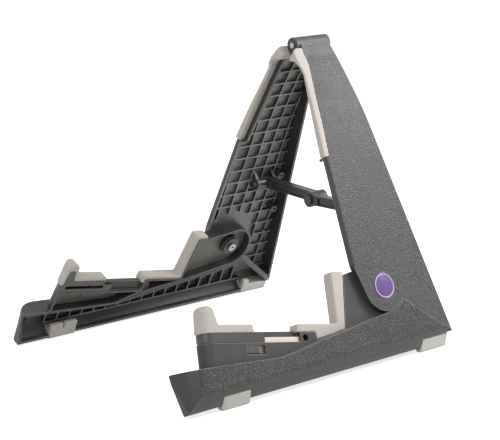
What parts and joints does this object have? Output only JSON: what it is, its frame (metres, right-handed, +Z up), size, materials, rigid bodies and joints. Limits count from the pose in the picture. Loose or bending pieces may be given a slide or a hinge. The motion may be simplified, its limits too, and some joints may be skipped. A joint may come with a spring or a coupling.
{
  "type": "folding guitar stand",
  "caption": "Folding A-frame guitar stand: ribbed legs on a top hinge, folding arms with sliding padded hooks and padded backrests, and a jointed spreader between the legs.",
  "frame": {"origin": "centre of the footprint on the ground", "axes": "+Z up, +Y towards the back, where the legs stand, +X towards the right-hand leg"},
  "size_m": [0.2588, 0.2943, 0.265],
  "materials": {
    "black_plastic": "fine leather grain",
    "grey_rubber": "matt",
    "pale_plastic": "satin",
    "badge_plastic": "glossy",
    "steel": "bright zinc"
  },
  "bodies": {
    "right_leg": {"right_leg": "black_plastic", "right_leg_pad": "grey_rubber", "right_badge_cap": "badge_plastic", "right_pivot_screw": "steel", "right_pivot_washer": "steel", "right_brace_pin": "steel", "hinge_pin": "steel"},
    "right_arm": {"right_arm": "black_plastic", "right_cradle_pad": "grey_rubber", "right_glide_rail": "pale_plastic", "right_front_foot": "grey_rubber", "right_rear_foot": "grey_rubber"},
    "right_carriage": {"right_hook_carriage": "black_plastic", "right_hook_pad": "grey_rubber"},
    "right_lock": {"right_lock_button": "black_plastic"},
    "right_link": {"right_brace_link": "black_plastic", "brace_bolt": "steel"},
    "left_leg": {"left_leg": "black_plastic", "left_leg_pad": "grey_rubber", "left_badge_cap": "badge_plastic", "left_pivot_screw": "steel", "left_pivot_washer": "steel", "left_brace_pin": "steel"},
    "left_arm": {"left_arm": "black_plastic", "left_cradle_pad": "grey_rubber", "left_glide_rail": "pale_plastic", "left_front_foot": "grey_rubber", "left_rear_foot": "grey_rubber"},
    "left_carriage": {"left_hook_carriage": "black_plastic", "left_hook_pad": "grey_rubber"},
    "left_lock": {"left_lock_button": "black_plastic"},
    "left_link": {"left_brace_link": "black_plastic", "brace_nut": "steel"}
  },
  "joints": [
    {"name": "leg_spread", "type": "hinge", "parent": "right_leg", "child": "left_leg", "pos_m": [0, 0.09335, 0.258], "axis": [0, -1, 0], "range_deg": [0, 48.5]},
    {"name": "right_arm_fold", "type": "hinge", "parent": "right_leg", "child": "right_arm", "pos_m": [0.10042, 0.08285, 0.05936], "axis": [-0.91, 0, -0.4147], "range_deg": [0, 77]},
    {"name": "right_hook_slide", "type": "slide", "parent": "right_arm", "child": "right_carriage", "axis": [0.0791, 0.9816, -0.1736], "range_m": [0, 0.03]},
    {"name": "right_lock_slide", "type": "slide", "parent": "right_arm", "child": "right_lock", "axis": [0.0791, 0.9816, -0.1736], "range_m": [0, 0.0034], "stiffness_N_per_m": 200},
    {"name": "right_link_turn", "type": "hinge", "parent": "right_leg", "child": "right_link", "pos_m": [0.07065, 0.103, 0.11986], "axis": [0, 1, 0], "range_deg": [0, 62]},
    {"name": "left_arm_fold", "type": "hinge", "parent": "left_leg", "child": "left_arm", "pos_m": [-0.10042, 0.08285, 0.05936], "axis": [-0.91, 0, 0.4147], "range_deg": [0, 77]},
    {"name": "left_hook_slide", "type": "slide", "parent": "left_arm", "child": "left_carriage", "axis": [-0.0791, 0.9816, -0.1736], "range_m": [0, 0.03]},
    {"name": "left_lock_slide", "type": "slide", "parent": "left_arm", "child": "left_lock", "axis": [-0.0791, 0.9816, -0.1736], "range_m": [0, 0.0034], "stiffness_N_per_m": 200},
    {"name": "left_link_turn", "type": "hinge", "parent": "left_leg", "child": "left_link", "pos_m": [-0.07065, 0.103, 0.11986], "axis": [0, -1, 0], "range_deg": [0, 62]}
  ],
  "couplings": [
    {"joint": "right_link_turn", "follows": "leg_spread", "ratio": 1.2612},
    {"joint": "left_link_turn", "follows": "leg_spread", "ratio": 1.2612}
  ]
}
